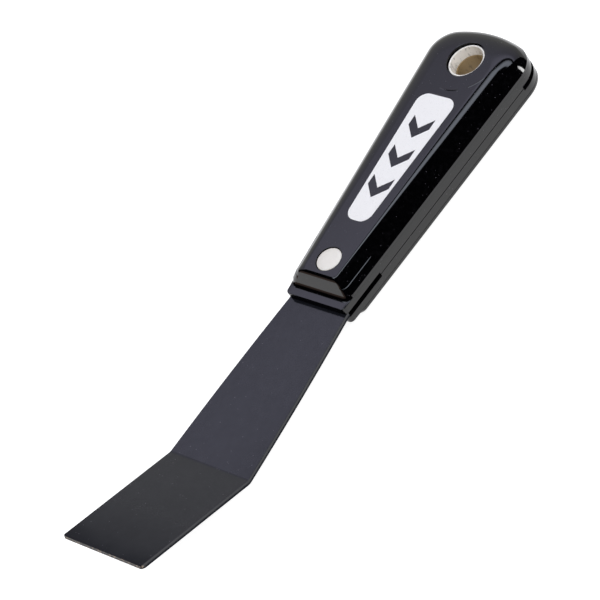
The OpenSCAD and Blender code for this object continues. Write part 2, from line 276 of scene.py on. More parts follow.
class Graph:
    """A node tree and the ways that this script adds to it."""

    def __init__(self, tree):
        self.tree = tree
        tree.nodes.clear()

    def node(self, kind, settings=None, sockets=None, out=0):
        made = self.tree.nodes.new(kind)
        for key, value in (settings or {}).items():
            if key == "stops":
                self.set_stops(made.color_ramp, value)
            else:
                setattr(made, key, value)
        for key, value in (sockets or {}).items():
            if isinstance(value, Wire):
                self.tree.links.new(value.socket, made.inputs[key])
            else:
                made.inputs[key].default_value = value
        return Wire(self, made.outputs[out]) if len(made.outputs) else made

    def set_stops(self, ramp, stops):
        while len(ramp.elements) > 1:
            ramp.elements.remove(ramp.elements[-1])
        ramp.elements[0].position = stops[0][0]
        ramp.elements[0].color = grey(stops[0][1])
        for place, tone in stops[1:]:
            ramp.elements.new(place).color = grey(tone)

    def place(self, offset=(0, 0, 0), scale=(1, 1, 1)):
        """Object coordinates, moved and stretched"""
        here = self.node("ShaderNodeTexCoord", out="Object")
        return self.node(
            "ShaderNodeMapping", {}, {"Vector": here, "Location": offset, "Scale": scale}
        )

    def noise(self, vector, scale, detail, roughness):
        sockets = {"Vector": vector, "Scale": scale, "Detail": detail, "Roughness": roughness}
        return self.node("ShaderNodeTexNoise", {}, sockets)

    def ramp(self, value, stops):
        return self.node("ShaderNodeValToRGB", {"stops": stops}, {"Fac": value})

    def mix(self, factor, first, second):
        """A blend of two colours, by the Mix node's colour sockets"""
        sockets = {0: factor, 6: rgba(first), 7: rgba(second)}
        return self.node("ShaderNodeMix", {"data_type": "RGBA"}, sockets, out=2)

    def bump(self, height, distance, strength, normal=None):
        sockets = {"Height": height, "Distance": distance, "Strength": strength}
        if normal is not None:
            sockets["Normal"] = normal
        return self.node("ShaderNodeBump", {}, sockets)


def grey(tone):
    return (tone, tone, tone, 1.0)


def rgba(value):
    return value if isinstance(value, Wire) else (*value, 1.0)


def material(name, paint):
    """A material whose Principled sockets come from paint(graph)"""
    made = bpy.data.materials.new(name)
    made.use_nodes = True
    graph = Graph(made.node_tree)
    shader = graph.node("ShaderNodeBsdfPrincipled", {}, paint(graph))
    graph.node("ShaderNodeOutputMaterial", {}, {"Surface": shader})
    return made


# ---------- Mesh helpers ----------

SHARP_ANGLE = radians(34)


def finish_piece(bm, name, skins, node):
    """Makes a mesh into a named, smooth-shaded piece that stands for a node of the frame"""
    bmesh.ops.recalc_face_normals(bm, faces=bm.faces)
    mesh = bpy.data.meshes.new(name)
    bm.to_mesh(mesh)
    bm.free()
    mesh.shade_smooth()
    mesh.set_sharp_from_angle(angle=SHARP_ANGLE)
    for skin in skins:
        mesh.materials.append(skin)
    piece = bpy.data.objects.new(name, mesh)
    bpy.context.scene.collection.objects.link(piece)
    even = piece.modifiers.new("Even shading", "WEIGHTED_NORMAL")
    even.keep_sharp = True
    even.weight = 100
    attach(piece, "root")
    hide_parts(node)
    return piece


def turned(profile, x, closed=False):
    """A solid turned about an upright axis from a profile of (radius, height) points, whose two
    ends lie on the axis or, if closed, meet each other"""
    bm = bmesh.new()
    points = [bm.verts.new((r, 0, h)) for r, h in profile]
    pairs = list(zip(points, points[1:])) + ([(points[-1], points[0])] if closed else [])
    edges = [bm.edges.new(pair) for pair in pairs]
    bmesh.ops.spin(
        bm, geom=points + edges, cent=(0, 0, 0), axis=(0, 0, 1), angle=2 * pi,
        steps=ROUND_STEPS, use_merge=True,
    )
    bmesh.ops.remove_doubles(bm, verts=bm.verts, dist=WELD)
    bmesh.ops.translate(bm, verts=bm.verts, vec=(x, 0, 0))
    return bm


def ring_of(bm, points):
    """A closed ring of edges through (x, y, z) points"""
    verts = [bm.verts.new(p) for p in points]
    for i, v in enumerate(verts):
        bm.edges.new((verts[i - 1], v))
    return verts


def raise_ring(bm, ring, points):
    """Extrudes a closed ring of vertices and puts the new ones at the same count of points"""
    edges = [bm.edges.get((ring[i - 1], v)) for i, v in enumerate(ring)]
    made = set(bmesh.ops.extrude_edge_only(bm, edges=edges)["geom"])
    upper = []
    for v, point in zip(ring, points):
        twin = next(o for o in (e.other_vert(v) for e in v.link_edges) if o in made)
        twin.co = point
        upper.append(twin)
    return upper


def arc(centre, r, a0, a1, steps):
    """Points of an arc, with its angles in radians"""
    turn = (a1 - a0) / steps
    return [
        (centre[0] + r * cos(a0 + turn * i), centre[1] + r * sin(a0 + turn * i))
        for i in range(steps + 1)
    ]


def smooth_step(low, high, value):
    """0 below low, 1 above high, and an even curve between them"""
    t = min(max((value - low) / (high - low), 0.0), 1.0)
    return t * t * (3 - 2 * t)


def blend(a, b, t):
    return a + (b - a) * t


# ---------- Blade ----------

STRIP_STATIONS = 40
BEND_STATIONS = 10
SOFTENED_ANGLE = radians(50)
SHEARED_FACING = 0.85


def blade_half_width(blade, s):
    """Half width of the strip, s along it from the handle's lip towards the cutting edge"""
    if s <= blade.shank_length:
        f = s / blade.shank_length
        return blend(blade.neck_width, blade.bend_width, f) / 2 + blade.bow * 4 * f * (1 - f)
    f = (s - blade.shank_length) / blade.foot_length
    return blend(blade.bend_width, blade.edge_width, min(f, 1.0)) / 2


def bend_strip(bm, blade, lip_x):
    """Rolls the flat strip's foot up about the bend"""
    angle = blade.foot_angle
    mid_r = blade.bend_radius + blade.thickness / 2
    run = mid_r * tan(angle / 2)
    start = blade.shank_length - run
    arc_length = mid_r * angle
    for v in bm.verts:
        s = lip_x - v.co.x
        n = v.co.z
        if s <= start:
            continue
        turn = min((s - start) / mid_r, angle)
        past = max(s - start - arc_length, 0.0)
        v.co.x = lip_x - start - (mid_r - n) * sin(turn) - past * cos(turn)
        v.co.z = mid_r - (mid_r - n) * cos(turn) + past * sin(turn)


def strip_length(blade):
    """Length of the flat strip from the handle's lip to the cutting edge, along its middle plane"""
    mid_r = blade.bend_radius + blade.thickness / 2
    run = mid_r * tan(blade.foot_angle / 2)
    return blade.shank_length + blade.foot_length - 2 * run + mid_r * blade.foot_angle


def blade_strip(blade, lip_x, back_x):
    """The strip of steel from back_x, inside the handle, to the cutting edge, still flat"""
    bm = bmesh.new()
    length = strip_length(blade)
    tip_x = lip_x - length
    half_t = blade.thickness / 2
    middle = Matrix.Translation(((tip_x + back_x) / 2, 0, 0))
    stretch = Matrix.Diagonal((back_x - tip_x, 2, 2 * half_t, 1))
    bmesh.ops.create_cube(bm, size=1.0, matrix=middle @ stretch)
    mid_r = blade.bend_radius + half_t
    bend_start = lip_x - blade.shank_length + mid_r * tan(blade.foot_angle / 2)
    neck_end = lip_x + blade.neck_reach
    step = 0.1 * MM
    cuts = [lip_x - length * i / STRIP_STATIONS for i in range(STRIP_STATIONS)]
    cuts += [
        bend_start - mid_r * blade.foot_angle * i / BEND_STATIONS for i in range(BEND_STATIONS + 1)
    ]
    cuts += [tip_x + blade.grind, neck_end, neck_end + step]
    for x in cuts:
        bmesh.ops.bisect_plane(
            bm, geom=bm.verts[:] + bm.edges[:] + bm.faces[:], dist=TOUCH,
            plane_co=(x, 0, 0), plane_no=(1, 0, 0),
        )
    for v in bm.verts:
        s = max(lip_x - v.co.x, 0.0)
        inside = v.co.x > neck_end + step / 2
        half = blade.shoulder_width / 2 if inside else blade_half_width(blade, s)
        v.co.y = (1 if v.co.y > 0 else -1) * half
        if abs(v.co.x - tip_x) < TOUCH and v.co.z < 0:
            v.co.z = half_t - blade.edge_thickness
    corners = [
        e for e in bm.edges
        if all(abs(v.co.x - tip_x) < TOUCH for v in e.verts)
        and abs(e.verts[0].co.z - e.verts[1].co.z) > half_t
    ]
    bmesh.ops.bevel(
        bm, geom=corners, offset=blade.corner_radius, segments=6, profile=0.5,
        affect="EDGES", material=-1, clamp_overlap=True,
    )
    bmesh.ops.remove_doubles(bm, verts=bm.verts, dist=WELD)
    rim = [e for e in bm.edges if e.is_manifold and e.calc_face_angle(0) > SOFTENED_ANGLE]
    bmesh.ops.bevel(
        bm, geom=rim, offset=blade.edge_softness, segments=2, profile=0.5,
        affect="EDGES", material=-1, clamp_overlap=True,
    )
    return bm


def tang_end(handle, blade):
    """The tang's wide end, which follows the handle's outline round the butt"""
    bm = bmesh.new()
    inset = blade.tang_inset
    outline = handle_outline(handle, lambda x: inset, inset, inset, handle.lip_corner)
    ring = ring_of(bm, [(x, y, -blade.thickness / 2) for x, y in outline])
    bmesh.ops.contextual_create(bm, geom=ring)
    bmesh.ops.bisect_plane(
        bm, geom=bm.verts[:] + bm.edges[:] + bm.faces[:], dist=TOUCH, clear_inner=True,
        plane_co=(HANG_X + blade.tang_end, 0, 0), plane_no=(1, 0, 0),
    )
    made = bmesh.ops.extrude_face_region(bm, geom=bm.faces[:])["geom"]
    lifted = [v for v in made if isinstance(v, bmesh.types.BMVert)]
    bmesh.ops.translate(bm, verts=lifted, vec=(0, 0, blade.thickness))
    return hidden_cutter(bm, "tang_end")


def mark_levels(bm, half_t):
    """Notes how high each vertex lies in the steel's thickness, from -1 below to 1 above"""
    level = bm.verts.layers.float.new("level")
    for v in bm.verts:
        v[level] = v.co.z / half_t


class SCRAPER_OT_blade(Operator):
    """Model the bent strip of steel with its tang"""

    bl_idname = "scraper.blade"
    bl_label = "Blade"

    def execute(self, context):
        scene = context.scene
        blade, fittings, finish = scene.scraper_blade, scene.scraper_fittings, scene.scraper_finish
        half_t = blade.thickness / 2
        back_x = RIVET_X + blade.shoulder_back
        overlap_front, overlap_back = 1 * MM, 0.1 * MM
        through = 5 * MM
        joins = [
            block(
                (back_x - overlap_front, -blade.tang_width / 2, -half_t),
                (HANG_X + blade.tang_end + overlap_back, blade.tang_width / 2, half_t),
            ),
            tang_end(scene.scraper_handle, blade),
        ]
        holes = [
            drill(RIVET_X, fittings.sleeve_radius + fittings.hole_gap, -through, through),
            drill(HANG_X, tube_hole(fittings), -through, through),
        ]
        bm = carve(blade_strip(blade, SCALE_LOW.x, back_x), holes, joins)
        mark_levels(bm, half_t)
        bend_strip(bm, blade, SCALE_LOW.x)
        bmesh.ops.translate(bm, verts=bm.verts, vec=(0, 0, MID_Z))
        bmesh.ops.recalc_face_normals(bm, faces=bm.faces)
        for face in bm.faces:
            if abs(face.normal.y) > SHEARED_FACING or face.normal.x < -SHEARED_FACING:
                face.material_index = 1
        skins = [coated_steel(finish), sheared_steel(finish)]
        finish_piece(bm, "steel_blade", skins, "blade")
        return {"FINISHED"}


# ---------- Handle ----------

# Where the shoulder's ridge and bend lie between the side wall (0) and the level face (1)
RIDGE_AT = 0.2
LAND_AT = 0.25
BEND_AT = 0.6
SHOULDER_STEPS = (
    0.003, 0.1, 0.2, 0.25, 0.3, 0.35, 0.4, 0.45, 0.5, 0.55, 0.6, 0.68, 0.76, 0.84, 0.92, 1.0,
)
# How steep the shoulder is at its bend and along its ridge, and where it leaves the ridge
BEND_SLOPE = radians(9.5)
LAND_SLOPE = radians(6.5)
CRISP_SLOPE = radians(52)
SOFT_SLOPE = radians(46)
# How far behind the rivet the crisp ridge has faded out
RIDGE_FADE = 48 * MM
# The butt's dome: its curve's heights as shares of the rise, its first distances in, and how
# often the search for a height on it halves
DOME_HEIGHTS = (0.0, 0.42, 0.97, 1.0)
DOME_STARTS = (0.15 * MM, 0.3 * MM, 2.0 * MM)
HALVINGS = 24
# Steps round the outline: half the butt's end, each of its corners, each side, each front corner
END_STEPS, BUTT_STEPS, SIDE_STEPS, FRONT_STEPS = 6, 14, 26, 8
LEAST_CORNER = 2 * MM
# The straight sides' points lie between the front corners and the butt's corners
SIDE_FROM = SCALE_LOW.x + 9.4 * MM
SIDE_TO = HANG_X - 6 * MM
# Small edges of a scale: at the seam, over the ledge, at the side wall's top, at its counterbores
SEAM = 0.12 * MM
HAIR = 0.001 * MM
WALL_EDGE = 0.06 * MM
RIM_BEVEL = 0.06 * MM
# Where the cove has its points, in degrees round it from the ledge
COVE_ANGLES = (0, 10, 20, 30, 40, 50)


def side_slope(handle):
    """How much half the handle's width grows along its length"""
    return (handle.hang_width - handle.lip_width) / 2 / (HANG_X - SCALE_LOW.x)


def half_width(handle, x):
    """Half width of the handle at x before its corners are rounded"""
    return handle.lip_width / 2 + (x - SCALE_LOW.x) * side_slope(handle)


def handle_outline(handle, side_in, end_in, front_in, front_r):
    """Points of the handle's outline, drawn in at its sides, its butt and its front.
    side_in is a function of x. The points run from the butt round one side to the front and back.
    Each butt corner's centre lies r inside the straight side and r inside the butt's end curve,
    which gives the quadratic equation in x that is solved here."""
    slope = side_slope(handle)
    stretch = sqrt(1 + slope * slope)
    lean = atan(slope)
    butt_x = SCALE_HIGH.x
    inner = side_in(butt_x)
    r = max(handle.butt_corner - inner / 2, LEAST_CORNER)
    arc_x = butt_x - end_in - handle.butt_radius
    b = half_width(handle, 0) - inner - r * stretch
    p = slope * b - arc_x
    q = arc_x ** 2 + b ** 2 - (handle.butt_radius - r) ** 2
    x = (sqrt(p * p - stretch ** 2 * q) - p) / stretch ** 2
    corner = (x, slope * x + b)
    swing = atan2(corner[1], corner[0] - arc_x)
    upper = arc((arc_x, 0), handle.butt_radius, 0, swing, END_STEPS)
    upper += arc(corner, r, swing, pi / 2 + lean, BUTT_STEPS)[1:]
    for i in range(SIDE_STEPS + 1):
        x = blend(SIDE_TO, SIDE_FROM, i / SIDE_STEPS)
        upper.append((x, half_width(handle, x) - side_in(x)))
    x = SCALE_LOW.x + front_in + front_r
    centre = (x, half_width(handle, x) - side_in(x) - front_r * stretch)
    upper += arc(centre, front_r, pi / 2 + lean, pi, FRONT_STEPS)
    lower = [(px, -py) for px, py in reversed(upper[1:])]
    return upper + lower


def bezier(a, b, c, t):
    """A quadratic Bezier curve's value"""
    return (1 - t) ** 2 * a + 2 * t * (1 - t) * b + t * t * c


def cubic(a, b, c, d, t):
    """A cubic Bezier curve's value"""
    return blend(bezier(a, b, c, t), bezier(b, c, d, t), t)


def shoulder(handle, half_t, x, t):
    """How far in and how high over the side wall the shoulder lies, from the wall (t = 0) by its
    ridge (RIDGE_AT) and the bend (BEND_AT) to the level face (t = 1). The ridge is crisp at the
    front and fades out behind the rivet, where the level face's edge grows softer."""
    rise = half_t - handle.wall_height
    fade = smooth_step(RIVET_X, RIVET_X + RIDGE_FADE, x)
    along = smooth_step(SCALE_LOW.x, HANG_X, x)
    flat_in = blend(handle.front_flat_in, handle.back_flat_in, along)
    edge_r = blend(handle.front_edge_r, handle.back_edge_r, along)
    bend = (flat_in - edge_r * sin(BEND_SLOPE), rise - edge_r * (1 - cos(BEND_SLOPE)))
    ridge = (handle.ridge_in, handle.ridge_rise)
    if t <= RIDGE_AT:
        return ridge[0] * t / RIDGE_AT, ridge[1] * t / RIDGE_AT
    if t > BEND_AT:
        u = (t - BEND_AT) / (1 - BEND_AT)
        turn = flat_in - edge_r * tan(BEND_SLOPE / 2)
        return bezier(bend[0], turn, flat_in, u), bezier(bend[1], rise, rise, u)
    soft = rolled(ridge, bend, SOFT_SLOPE, (t - RIDGE_AT) / (BEND_AT - RIDGE_AT))
    land = (ridge[0] + handle.ridge_land, ridge[1] + handle.ridge_land * tan(LAND_SLOPE))
    if t <= LAND_AT:
        f = (t - RIDGE_AT) / (LAND_AT - RIDGE_AT)
        crisp = (blend(ridge[0], land[0], f), blend(ridge[1], land[1], f))
    else:
        crisp = rolled(land, bend, CRISP_SLOPE, (t - LAND_AT) / (BEND_AT - LAND_AT))
    return blend(crisp[0], soft[0], fade), blend(crisp[1], soft[1], fade)


def rolled(low, high, steep, u):
    """A point of the curve that leaves the low point at a steep slope and ends at the bend's"""
    gentle = tan(BEND_SLOPE)
    reach = (high[1] - low[1] - gentle * (high[0] - low[0])) / (tan(steep) - gentle)
    turn = (low[0] + reach, low[1] + reach * tan(steep))
    return bezier(low[0], turn[0], high[0], u), bezier(low[1], turn[1], high[1], u)


def butt_in(handle, half_t, height):
    """How far in the butt's domed end lies at a height over the side wall"""
    rise = half_t - handle.wall_height
    low, high = 0.0, 1.0
    for _ in range(HALVINGS):
        middle = (low + high) / 2
        if cubic(*DOME_HEIGHTS, middle) * rise < height:
            low = middle
        else:
            high = middle
    return cubic(*DOME_STARTS, handle.butt_shoulder, low)


def front_in_at(handle, half_t, z):
    """How far back the front's cove, slope and brow lie at height z over the middle plane"""
    angle = handle.front_slope
    cove, brow = handle.cove_radius, handle.brow_radius
    brow_low = half_t - brow * (1 - cos(angle))
    cove_high = handle.lip_height + cove * (1 - cos(angle))
    brow_front = handle.front_to_top - brow * sin(angle)
    if z >= brow_low:
        return handle.front_to_top - sqrt(max(brow ** 2 - (brow - (half_t - z)) ** 2, 0.0))
    if z >= cove_high:
        return brow_front - (brow_low - z) / tan(angle)
    slope_front = brow_front - (brow_low - cove_high) / tan(angle)
    rise = z - handle.lip_height
    return slope_front - cove * sin(angle) + sqrt(max(cove ** 2 - (cove - rise) ** 2, 0.0))


def scale_body(handle):
    """One scale above the middle plane: lip, ledge, cove, slope, side wall, shoulder and top face"""
    bm = bmesh.new()
    half_t = SCALE_HIGH.z - MID_Z
    soft = handle.edge_softness

    def lip_points(z, inset):
        outline = handle_outline(handle, lambda x: inset, inset, inset, handle.lip_corner)
        return [(x, y, z) for x, y in outline]

    def body_points(z, t):
        """Points round the body over the ledge: at height z while t is 0, up to the side wall's
        top, and from there at the shoulder's own height for t"""
        front_z = z if t == 0 else handle.wall_height + shoulder(handle, half_t, SCALE_LOW.x, t)[1]
        front_in = front_in_at(handle, half_t, front_z)
        corner = blend(
            handle.front_corner, handle.brow_corner,
            smooth_step(handle.wall_height, half_t, front_z),
        )
        if t == 0:
            outline = handle_outline(handle, lambda x: 0, 0, front_in, corner)
            return [(x, y, z) for x, y in outline]

        def side_point(x):
            return shoulder(handle, half_t, min(x, HANG_X), t)

        end_in = butt_in(handle, half_t, side_point(HANG_X)[1])
        outline = handle_outline(handle, lambda x: side_point(x)[0], end_in, front_in, corner)
        return [(x, y, handle.wall_height + side_point(x)[1]) for x, y in outline]

    ring = ring_of(bm, lip_points(0, SEAM))
    bmesh.ops.contextual_create(bm, geom=ring)
    for z, inset in (
        (SEAM, 0), (handle.lip_height - soft, 0), (handle.lip_height - soft * 0.3, soft * 0.3),
        (handle.lip_height, soft),
    ):
        ring = raise_ring(bm, ring, lip_points(z, inset))
    levels = [
        handle.lip_height + handle.cove_radius * (1 - cos(radians(angle))) for angle in COVE_ANGLES
    ]
    levels = [z for z in levels if z < handle.wall_height - soft]
    ring = raise_ring(bm, ring, body_points(levels[0] + HAIR, 0))
    for z in levels[1:] + [handle.wall_height - WALL_EDGE]:
        ring = raise_ring(bm, ring, body_points(z, 0))
    for t in SHOULDER_STEPS:
        ring = raise_ring(bm, ring, body_points(handle.wall_height, t))
    bmesh.ops.contextual_create(bm, geom=ring)
    return bm


def hidden_cutter(bm, name):
    """A short-lived object for carve() to cut with or to join on"""
    bmesh.ops.recalc_face_normals(bm, faces=bm.faces)
    mesh = bpy.data.meshes.new(name)
    bm.to_mesh(mesh)
    bm.free()
    cutter = bpy.data.objects.new(name, mesh)
    bpy.context.scene.collection.objects.link(cutter)
    return cutter


def block(low, high):
    """A square-edged block between two opposite corners"""
    bm = bmesh.new()
    low, high = Vector(low), Vector(high)
    middle = Matrix.Translation((low + high) / 2)
    bmesh.ops.create_cube(bm, size=1.0, matrix=middle @ Matrix.Diagonal((*(high - low), 1)))
    return hidden_cutter(bm, "cut_block")


def drill(x, r, low, high):
    """An upright cylinder of radius r at x, between two heights"""
    bm = bmesh.new()
    bmesh.ops.create_cone(
        bm, cap_ends=True, segments=ROUND_STEPS, radius1=r, radius2=r, depth=high - low,
        matrix=Matrix.Translation((x, 0, (low + high) / 2)),
    )
    return hidden_cutter(bm, "cut_drill")


def carve(bm, cutters, joins=()):
    """Adds the joins' shapes to a mesh and takes the cutters' out of it, then removes both"""
    mesh = bpy.data.meshes.new("carving")
    bm.to_mesh(mesh)
    bm.free()
    body = bpy.data.objects.new("carving", mesh)
    bpy.context.scene.collection.objects.link(body)
    steps = [("UNION", part) for part in joins] + [("DIFFERENCE", part) for part in cutters]
    for operation, part in steps:
        cut = body.modifiers.new("Cut", "BOOLEAN")
        cut.operation = operation
        cut.solver = "EXACT"
        cut.object = part
    bpy.context.view_layer.update()
    carved = bmesh.new()
    carved.from_object(body, bpy.context.evaluated_depsgraph_get())
    for item in [body, *cutters, *joins]:
        spent = item.data
        bpy.data.objects.remove(item)
        bpy.data.meshes.remove(spent)
    return carved


def tube_hole(fittings):
    """Radius of the hole that the eyelet's tubes pass through"""
    return BORE_R + 2 * fittings.tube_wall + fittings.pin_gap + fittings.hole_gap


def ring_edges(bm, x, r, z):
    """Edges of the circle of radius r round the upright line at x, above height z"""
    near = 0.005 * MM

    def on_ring(v):
        return abs(hypot(v.co.x - x, v.co.y) - r) < near and v.co.z > z

    return [e for e in bm.edges if all(on_ring(v) for v in e.verts)]


def carved_scale(handle, fittings):
    """One scale with its holes, counterbores, tang pocket and slots, over a middle plane at 0"""
    half_t = SCALE_HIGH.z - MID_Z
    far = 20 * MM
    rivet_seat = RIVET_HIGH.z - MID_Z - fittings.head_thickness
    rivet_r = (RIVET_HIGH.x - RIVET_LOW.x) / 2 + fittings.head_gap
    rim_seat = SLEEVE_HIGH.z - MID_Z - fittings.rim_thickness
    rim_r = (SLEEVE_HIGH.x - SLEEVE_LOW.x) / 2 + fittings.rim_gap
    slot = handle.slot_half
    cutters = [
        block((SCALE_LOW.x - far, -far * 2, -far), (RIVET_X + handle.front_slot, far * 2, slot)),
        block((HANG_X - handle.butt_slot, -far * 2, -far), (SCALE_HIGH.x + far, far * 2, slot)),
        block(
            (RIVET_X, -handle.tang_width / 2, -far), (HANG_X, handle.tang_width / 2, slot),
        ),
        drill(RIVET_X, fittings.sleeve_radius + fittings.hole_gap, -far, far),
        drill(RIVET_X, rivet_r, rivet_seat, far),
        drill(HANG_X, tube_hole(fittings), -far, far),
        drill(HANG_X, rim_r, rim_seat, far),
    ]
    bm = carve(scale_body(handle), cutters)
    over_seat = 0.1 * MM
    rims = ring_edges(bm, RIVET_X, rivet_r, rivet_seat + over_seat)
    rims += ring_edges(bm, HANG_X, rim_r, rim_seat + over_seat)
    bmesh.ops.bevel(
        bm, geom=rims, offset=RIM_BEVEL, segments=2, profile=0.5, affect="EDGES", material=-1,
    )
    return bm


class SCRAPER_OT_scales(Operator):
    """Model the two moulded scales of the handle"""

    bl_idname = "scraper.scales"
    bl_label = "Handle scales"

    def execute(self, context):
        handle = context.scene.scraper_handle
        plastic = gloss_plastic(context.scene.scraper_finish)
        for node, side in (("top_scale", 1), ("bottom_scale", -1)):
            bm = carved_scale(handle, context.scene.scraper_fittings)
            bmesh.ops.scale(bm, vec=(1, 1, side), verts=bm.verts)
            bmesh.ops.translate(bm, verts=bm.verts, vec=(0, 0, MID_Z))
            finish_piece(bm, "moulded_" + node, [plastic], node)
        return {"FINISHED"}


# ---------- Rivet and eyelet ----------

# Chamfers of the heads' inner edges, the pin's point and the inner tube's end
HEAD_CHAMFER = 0.1 * MM
POINT_CHAMFER = 0.2 * MM
TUBE_CHAMFER = 0.12 * MM
# How far a rivet head's rounded rim, and the ring at half its radius, lie below its middle
RIM_DROP = 0.05 * MM
CROWN_DROP = 0.02 * MM
# Radius of the roll from the eyelet's rim into its funnel
FUNNEL_ROLL = 0.3 * MM


def rounded(centre, r, a0, a1, steps=5):
    """An arc of radius r round a centre, between two angles in degrees"""
    return arc(centre, r, radians(a0), radians(a1), steps)


class SCRAPER_OT_rivet(Operator):
    """Model the two halves of the compression rivet"""

    bl_idname = "scraper.rivet"
    bl_label = "Front rivet"

    def execute(self, context):
        fittings = context.scene.scraper_fittings
        metal = nickel("rivet_nickel", context.scene.scraper_finish.rivet)
        sleeve = turned(rivet_sleeve(fittings), RIVET_X)
        finish_piece(sleeve, "rivet_sleeve", [metal], "front_rivet_sleeve")
        pin = turned(rivet_pin(fittings), RIVET_X)
        finish_piece(pin, "rivet_pin", [metal], "front_rivet_pin")
        return {"FINISHED"}


def rivet_sleeve(fittings):
    """Profile of the hollow half: blind bore, shank and upper head"""
    head_r = (RIVET_HIGH.x - RIVET_LOW.x) / 2
    top, foot = RIVET_HIGH.z, RIVET_LOW.z
    seat = top - fittings.head_thickness
    bore_end = seat - fittings.pin_bore
    bore_r = fittings.pin_radius + fittings.pin_gap
    shank_r = fittings.sleeve_radius
    edge = fittings.head_round
    profile = [(0, bore_end), (bore_r, bore_end), (bore_r, foot), (shank_r, foot), (shank_r, seat)]
    profile += [(head_r - HEAD_CHAMFER, seat), (head_r, seat + HEAD_CHAMFER)]
    profile += rounded((head_r - edge, top - edge - RIM_DROP), edge, 0, 82)
    return profile + [(head_r * 0.5, top - CROWN_DROP), (0, top)]


def rivet_pin(fittings):
    """Profile of the solid half: lower head and pin"""
    head_r = (RIVET_HIGH.x - RIVET_LOW.x) / 2
    base, top = PIN_LOW.z, PIN_HIGH.z
    seat = base + fittings.head_thickness
    pin_r = fittings.pin_radius
    edge = fittings.head_round
    profile = [(0, base), (head_r * 0.5, base + CROWN_DROP)]
    profile += rounded((head_r - edge, base + edge + RIM_DROP), edge, -82, 0)
    profile += [(head_r, seat - HEAD_CHAMFER), (head_r - HEAD_CHAMFER, seat), (pin_r, seat)]
    return profile + [(pin_r, top - POINT_CHAMFER), (pin_r - POINT_CHAMFER, top), (0, top)]


class SCRAPER_OT_eyelet(Operator):
    """Model the two rolled tubes that line the hanging hole"""

    bl_idname = "scraper.eyelet"
    bl_label = "Hanging eyelet"

    def execute(self, context):
        fittings = context.scene.scraper_fittings
        finish = context.scene.scraper_finish
        plated = worn_tube("eyelet_plating", finish.eyelet, 0.15)
        # The inner tube's dark tan is its own tan with the shade inside the hanging hole painted in
        shaded_tan = worn_tube("eyelet_tan_and_painted_shade", finish.tan_and_shade, 0.1)
        sleeve = turned(eyelet_sleeve(fittings), HANG_X, closed=True)
        finish_piece(sleeve, "eyelet_sleeve", [plated], "hang_eyelet_sleeve")
        tube = turned(eyelet_tube(fittings), HANG_X, closed=True)
        finish_piece(tube, "eyelet_tube", [shaded_tan], "hang_eyelet_tube")
        return {"FINISHED"}


def eyelet_sleeve(fittings):
    """Profile of the outer tube, whose upper end opens as a funnel to a rolled rim"""
    rim_r = (SLEEVE_HIGH.x - SLEEVE_LOW.x) / 2
    top, foot = SLEEVE_HIGH.z, SLEEVE_LOW.z
    inner = BORE_R + fittings.tube_wall + fittings.pin_gap
    outer = inner + fittings.tube_wall
    lip = fittings.rim_thickness / 2
    profile = [(inner, foot), (outer, foot), (outer, top - 2 * lip - 0.2 * MM)]
    profile += [(outer + 0.1 * MM, top - 2 * lip), (rim_r - lip, top - 2 * lip)]
    profile += rounded((rim_r - lip, top - lip), lip, -90, 90, 8)[1:]
    profile += rounded((rim_r - lip * 1.6, top - FUNNEL_ROLL), FUNNEL_ROLL, 90, 150)[1:]
    return profile + [(inner + 0.02 * MM, TUBE_HIGH.z - 0.1 * MM)]


def eyelet_tube(fittings):
    """Profile of the inner tube, whose lower end curves out to a rolled rim"""
    rim_r = (SLEEVE_HIGH.x - SLEEVE_LOW.x) / 2
    base, top = TUBE_LOW.z, TUBE_HIGH.z
    tube_r = BORE_R + fittings.tube_wall
    lip = fittings.rim_thickness / 2
    mouth = rim_r - lip - BORE_R
    profile = [(tube_r, base + 2 * lip), (tube_r, top - TUBE_CHAMFER), (tube_r - TUBE_CHAMFER, top)]
    profile += [(BORE_R + TUBE_CHAMFER, top), (BORE_R, top - TUBE_CHAMFER)]
    profile += rounded((BORE_R + mouth, base + mouth), mouth, 180, 270, 8)
    return profile + rounded((rim_r - lip, base + lip), lip, -90, 90, 8)[1:]


# ---------- Finishes ----------

# The moulding mark in front of the hanging hole
MARK_RADIUS = 11.4 * MM
MARK_WIDTH = 0.3 * MM
MARK_TURN = radians(28)


def coated_steel(finish):
    """Dark coating, glossy over the shank and duller towards the cutting edge, faintly mottled"""
    def paint(g):
        here = g.place()
        cloud = g.noise(here, 55.0, 5.0, 0.65)
        patch = g.noise(here, 420.0, 3.0, 0.6)
        grain = g.noise(here, 5200.0, 2.0, 0.6)
        specks = g.node("ShaderNodeTexVoronoi", {"feature": "F1"}, {"Vector": here, "Scale": 700.0})
        speck = (specks < 0.09) * (patch > 0.52)
        tone = cloud * 0.5 + patch * 0.3 + grain * 0.2
        dark = [c * 0.6 for c in finish.steel]
        light = [c * 1.5 for c in finish.steel]
        x = g.node("ShaderNodeSeparateXYZ", {}, {"Vector": here}, out="X")
        from_tip = (x - BLADE_LOW.x) / (60 * MM) + cloud * 0.16 - 0.08
        gloss = g.ramp(from_tip, [(0.0, 0.10), (0.12, 0.44), (0.30, 0.67), (0.60, 0.75), (0.8, 0.76)])
        return {
            "Base Color": g.mix(speck, g.mix(tone, dark, light), finish.dust),
            "Roughness": 0.34 + cloud * 0.10 + grain * 0.04,
            "IOR": 1.08,
            "Coat Weight": gloss * (0.88 + patch * 0.24),
            "Coat Roughness": finish.steel_gloss,
            "Coat IOR": 1.5,
            "Normal": g.bump(grain + patch * 0.8, 0.004 * MM, 0.5),
        }
    return material("coated_steel", paint)


